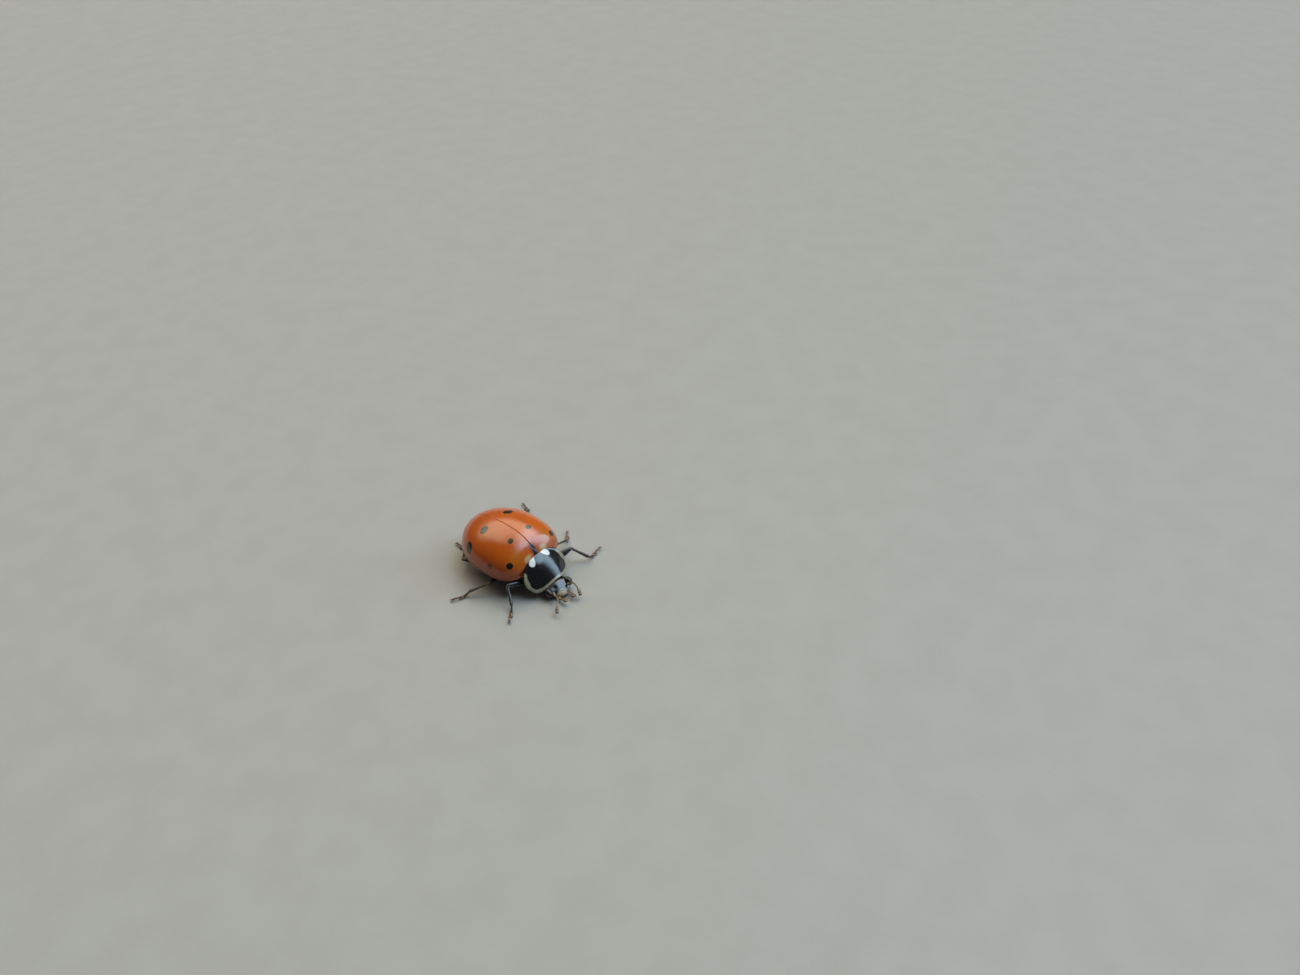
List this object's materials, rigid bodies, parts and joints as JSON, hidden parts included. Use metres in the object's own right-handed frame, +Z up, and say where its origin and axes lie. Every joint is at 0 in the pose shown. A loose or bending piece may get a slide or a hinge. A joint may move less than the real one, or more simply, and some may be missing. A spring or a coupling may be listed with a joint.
{
  "type": "ladybird",
  "caption": "Life-size convergent ladybird standing on its feet: orange-red wing cases with black spots, black pronotum with pale edge and converging pale marks, head low.",
  "frame": {"origin": "centre of the bottom of the box that holds the whole beetle, on the surface it stands on", "axes": "+Z up, -Y towards the head, +X towards the beetle's left side"},
  "size_m": [0.0074, 0.008, 0.0025],
  "materials": {
    "wing_case": "glossy orange-red shell with black spots and a thin pale edge",
    "pronotum": "glossy black shield with a cream edge and two converging cream marks",
    "black_shell": "glossy black shell, finely dimpled",
    "eye": "black compound eye with fine facets",
    "underside": "dark brown-black plates with short pale hairs",
    "leg": "dark brown-black shell",
    "foot": "dark reddish-brown",
    "feeler": "tan, darker at the club",
    "mouthparts": "pale tan-brown"
  },
  "bodies": {
    "root": {"elytron_left": "wing_case", "elytron_right": "wing_case", "scutellum": "black_shell", "pronotum": "pronotum", "head": "black_shell", "labrum": "mouthparts", "prothorax": "underside", "thorax": "underside", "abdomen": "underside", "eye_left": "eye", "antenna_left": "feeler", "palp_left": "mouthparts", "eye_right": "eye", "antenna_right": "feeler", "palp_right": "mouthparts", "coxa_front_left": "leg", "femur_front_left": "leg", "tibia_front_left": "leg", "tarsus_front_left": "foot", "coxa_front_right": "leg", "femur_front_right": "leg", "tibia_front_right": "leg", "tarsus_front_right": "foot", "coxa_middle_left": "leg", "femur_middle_left": "leg", "tibia_middle_left": "leg", "tarsus_middle_left": "foot", "coxa_middle_right": "leg", "femur_middle_right": "leg", "tibia_middle_right": "leg", "tarsus_middle_right": "foot", "coxa_hind_left": "leg", "femur_hind_left": "leg", "tibia_hind_left": "leg", "tarsus_hind_left": "foot", "coxa_hind_right": "leg", "femur_hind_right": "leg", "tibia_hind_right": "leg", "tarsus_hind_right": "foot"}
  },
  "joints": []
}
